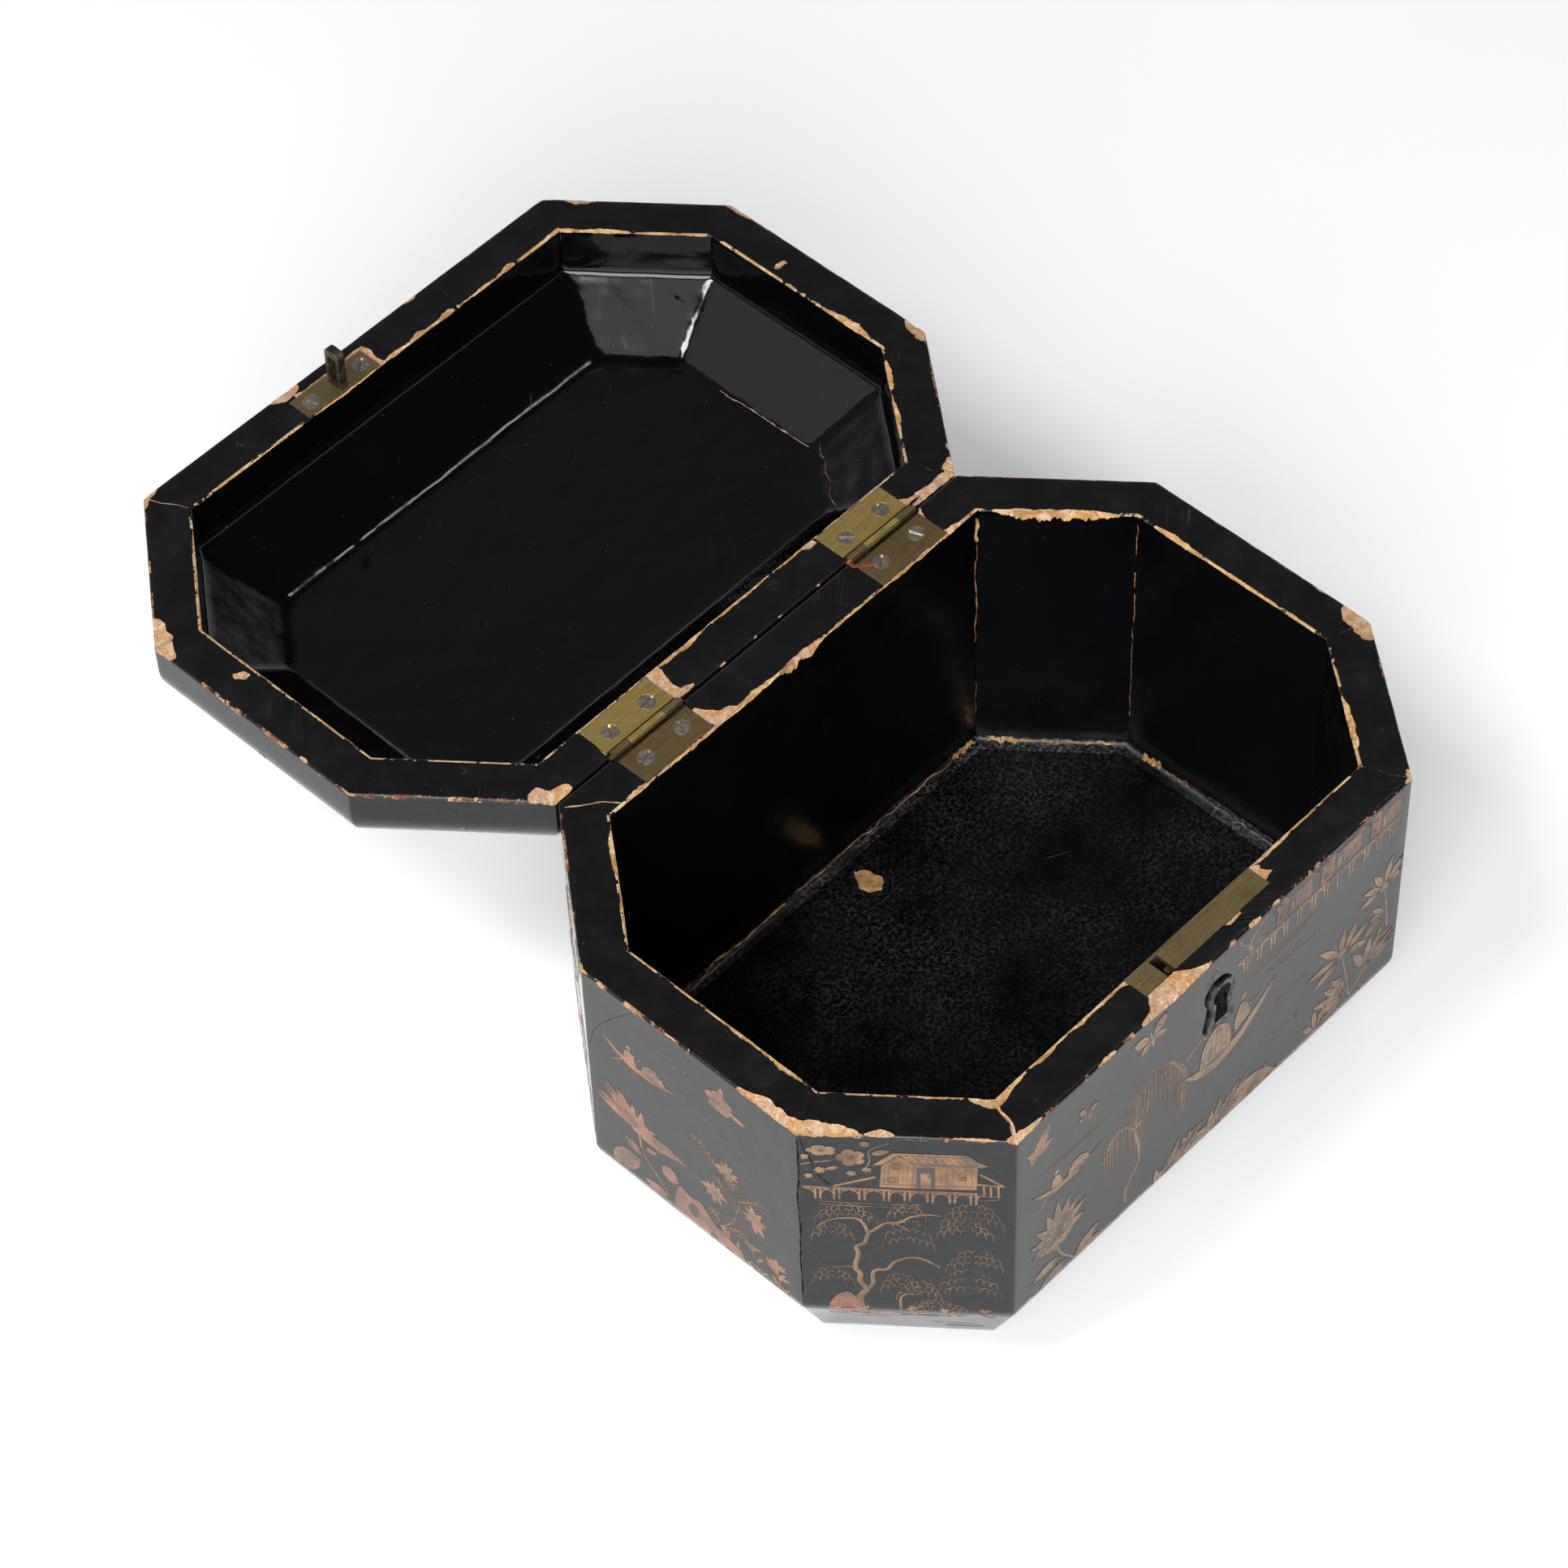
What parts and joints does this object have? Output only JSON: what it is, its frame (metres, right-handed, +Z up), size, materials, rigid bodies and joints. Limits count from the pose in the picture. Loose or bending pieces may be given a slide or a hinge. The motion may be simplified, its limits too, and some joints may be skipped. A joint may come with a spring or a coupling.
{
  "type": "deed box",
  "caption": "Eight-sided lacquered wooden box whose lid turns fully back on two butt hinges, with a let-in lock, for papers and keepsakes.",
  "frame": {"origin": "middle of the underside that the box stands on", "axes": "+X along the hinge line, -Y towards the lock, +Y towards the hinges and the open lid, +Z up"},
  "size_m": [0.26, 0.3717, 0.136],
  "materials": {
    "black_lacquer": "black lacquer, glossy, worn",
    "aged_brass": "dull, browned",
    "bright_brass": "satin, spotted",
    "dark_iron": "dark, worn",
    "steel_screw": "scratched",
    "copper_wire": "satin",
    "bare_wood": "bare, where the lacquer is lost",
    "gilding": "worn gold lacquer painting",
    "red_gilding": "worn red-gold painting"
  },
  "bodies": {
    "box": {"body_front_wall": "black_lacquer", "body_front_right_wall": "black_lacquer", "body_right_end_wall": "black_lacquer", "body_back_right_wall": "black_lacquer", "body_back_wall": "black_lacquer", "body_back_left_wall": "black_lacquer", "body_left_end_wall": "black_lacquer", "body_front_left_wall": "black_lacquer", "bottom_board": "black_lacquer", "hinge_left_body_leaf": "aged_brass", "hinge_right_body_leaf": "aged_brass", "hinge_left_pin": "aged_brass", "hinge_right_pin": "copper_wire", "hinge_body_screws": "steel_screw", "lock_plate": "aged_brass", "lock_case": "dark_iron", "lock_bolt_studs": "aged_brass", "lock_spring": "dark_iron", "lock_key_pin": "dark_iron", "lock_nails": "aged_brass", "keyhole_escutcheon": "dark_iron"},
    "lid": {"lid_front_rail": "black_lacquer", "lid_front_right_rail": "black_lacquer", "lid_right_end_rail": "black_lacquer", "lid_back_right_rail": "black_lacquer", "lid_back_rail": "black_lacquer", "lid_back_left_rail": "black_lacquer", "lid_left_end_rail": "black_lacquer", "lid_front_left_rail": "black_lacquer", "lid_front_slope": "black_lacquer", "lid_front_right_slope": "black_lacquer", "lid_right_end_slope": "black_lacquer", "lid_back_right_slope": "black_lacquer", "lid_back_slope": "black_lacquer", "lid_back_left_slope": "black_lacquer", "lid_left_end_slope": "black_lacquer", "lid_front_left_slope": "black_lacquer", "lid_top_board": "black_lacquer", "hinge_left_lid_leaf": "bright_brass", "hinge_right_lid_leaf": "bright_brass", "hinge_lid_screws": "steel_screw", "striker_plate": "bright_brass", "striker_staple": "dark_iron", "striker_screws": "steel_screw"},
    "bolt": {"lock_bolt": "aged_brass"}
  },
  "joints": [
    {"name": "lid_hinge", "type": "hinge", "parent": "box", "child": "lid", "pos_m": [0, 0.09285, 0.12015], "axis": [1, 0, 0], "range_deg": [0, 180]},
    {"name": "lock_slide", "type": "slide", "parent": "box", "child": "bolt", "axis": [-1, 0, 0], "range_m": [0, 0.005]}
  ]
}
